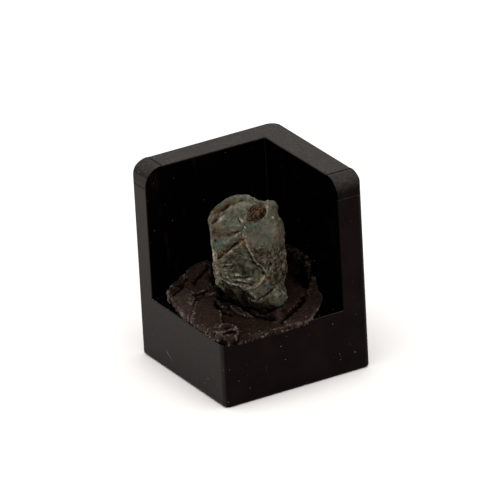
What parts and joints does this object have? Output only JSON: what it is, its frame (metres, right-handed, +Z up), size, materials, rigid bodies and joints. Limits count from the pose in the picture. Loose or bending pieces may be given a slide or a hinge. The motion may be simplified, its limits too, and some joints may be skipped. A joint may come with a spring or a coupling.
{
  "type": "rough zircon in a display holder",
  "caption": "Rough, broken zircon crystal set upright in a pat of dark putty on a black square holder with two tall walls.",
  "frame": {"origin": "middle of the holder's flat underside", "axes": "+Z up, +Y towards the back wall, +X towards the right wall; the open corner is at -X, -Y"},
  "size_m": [0.028, 0.0287, 0.0348],
  "materials": {
    "holder_plastic": "black moulded plastic, satin outside, glossy on the inner faces, dusty",
    "putty": "dark brown mounting putty, dull, smeared and flaked",
    "zircon": "grey-green translucent rough crystal, slightly glassy, with brown stains"
  },
  "bodies": {
    "root": {"holder": "holder_plastic", "putty": "putty", "zircon": "zircon"}
  },
  "joints": []
}
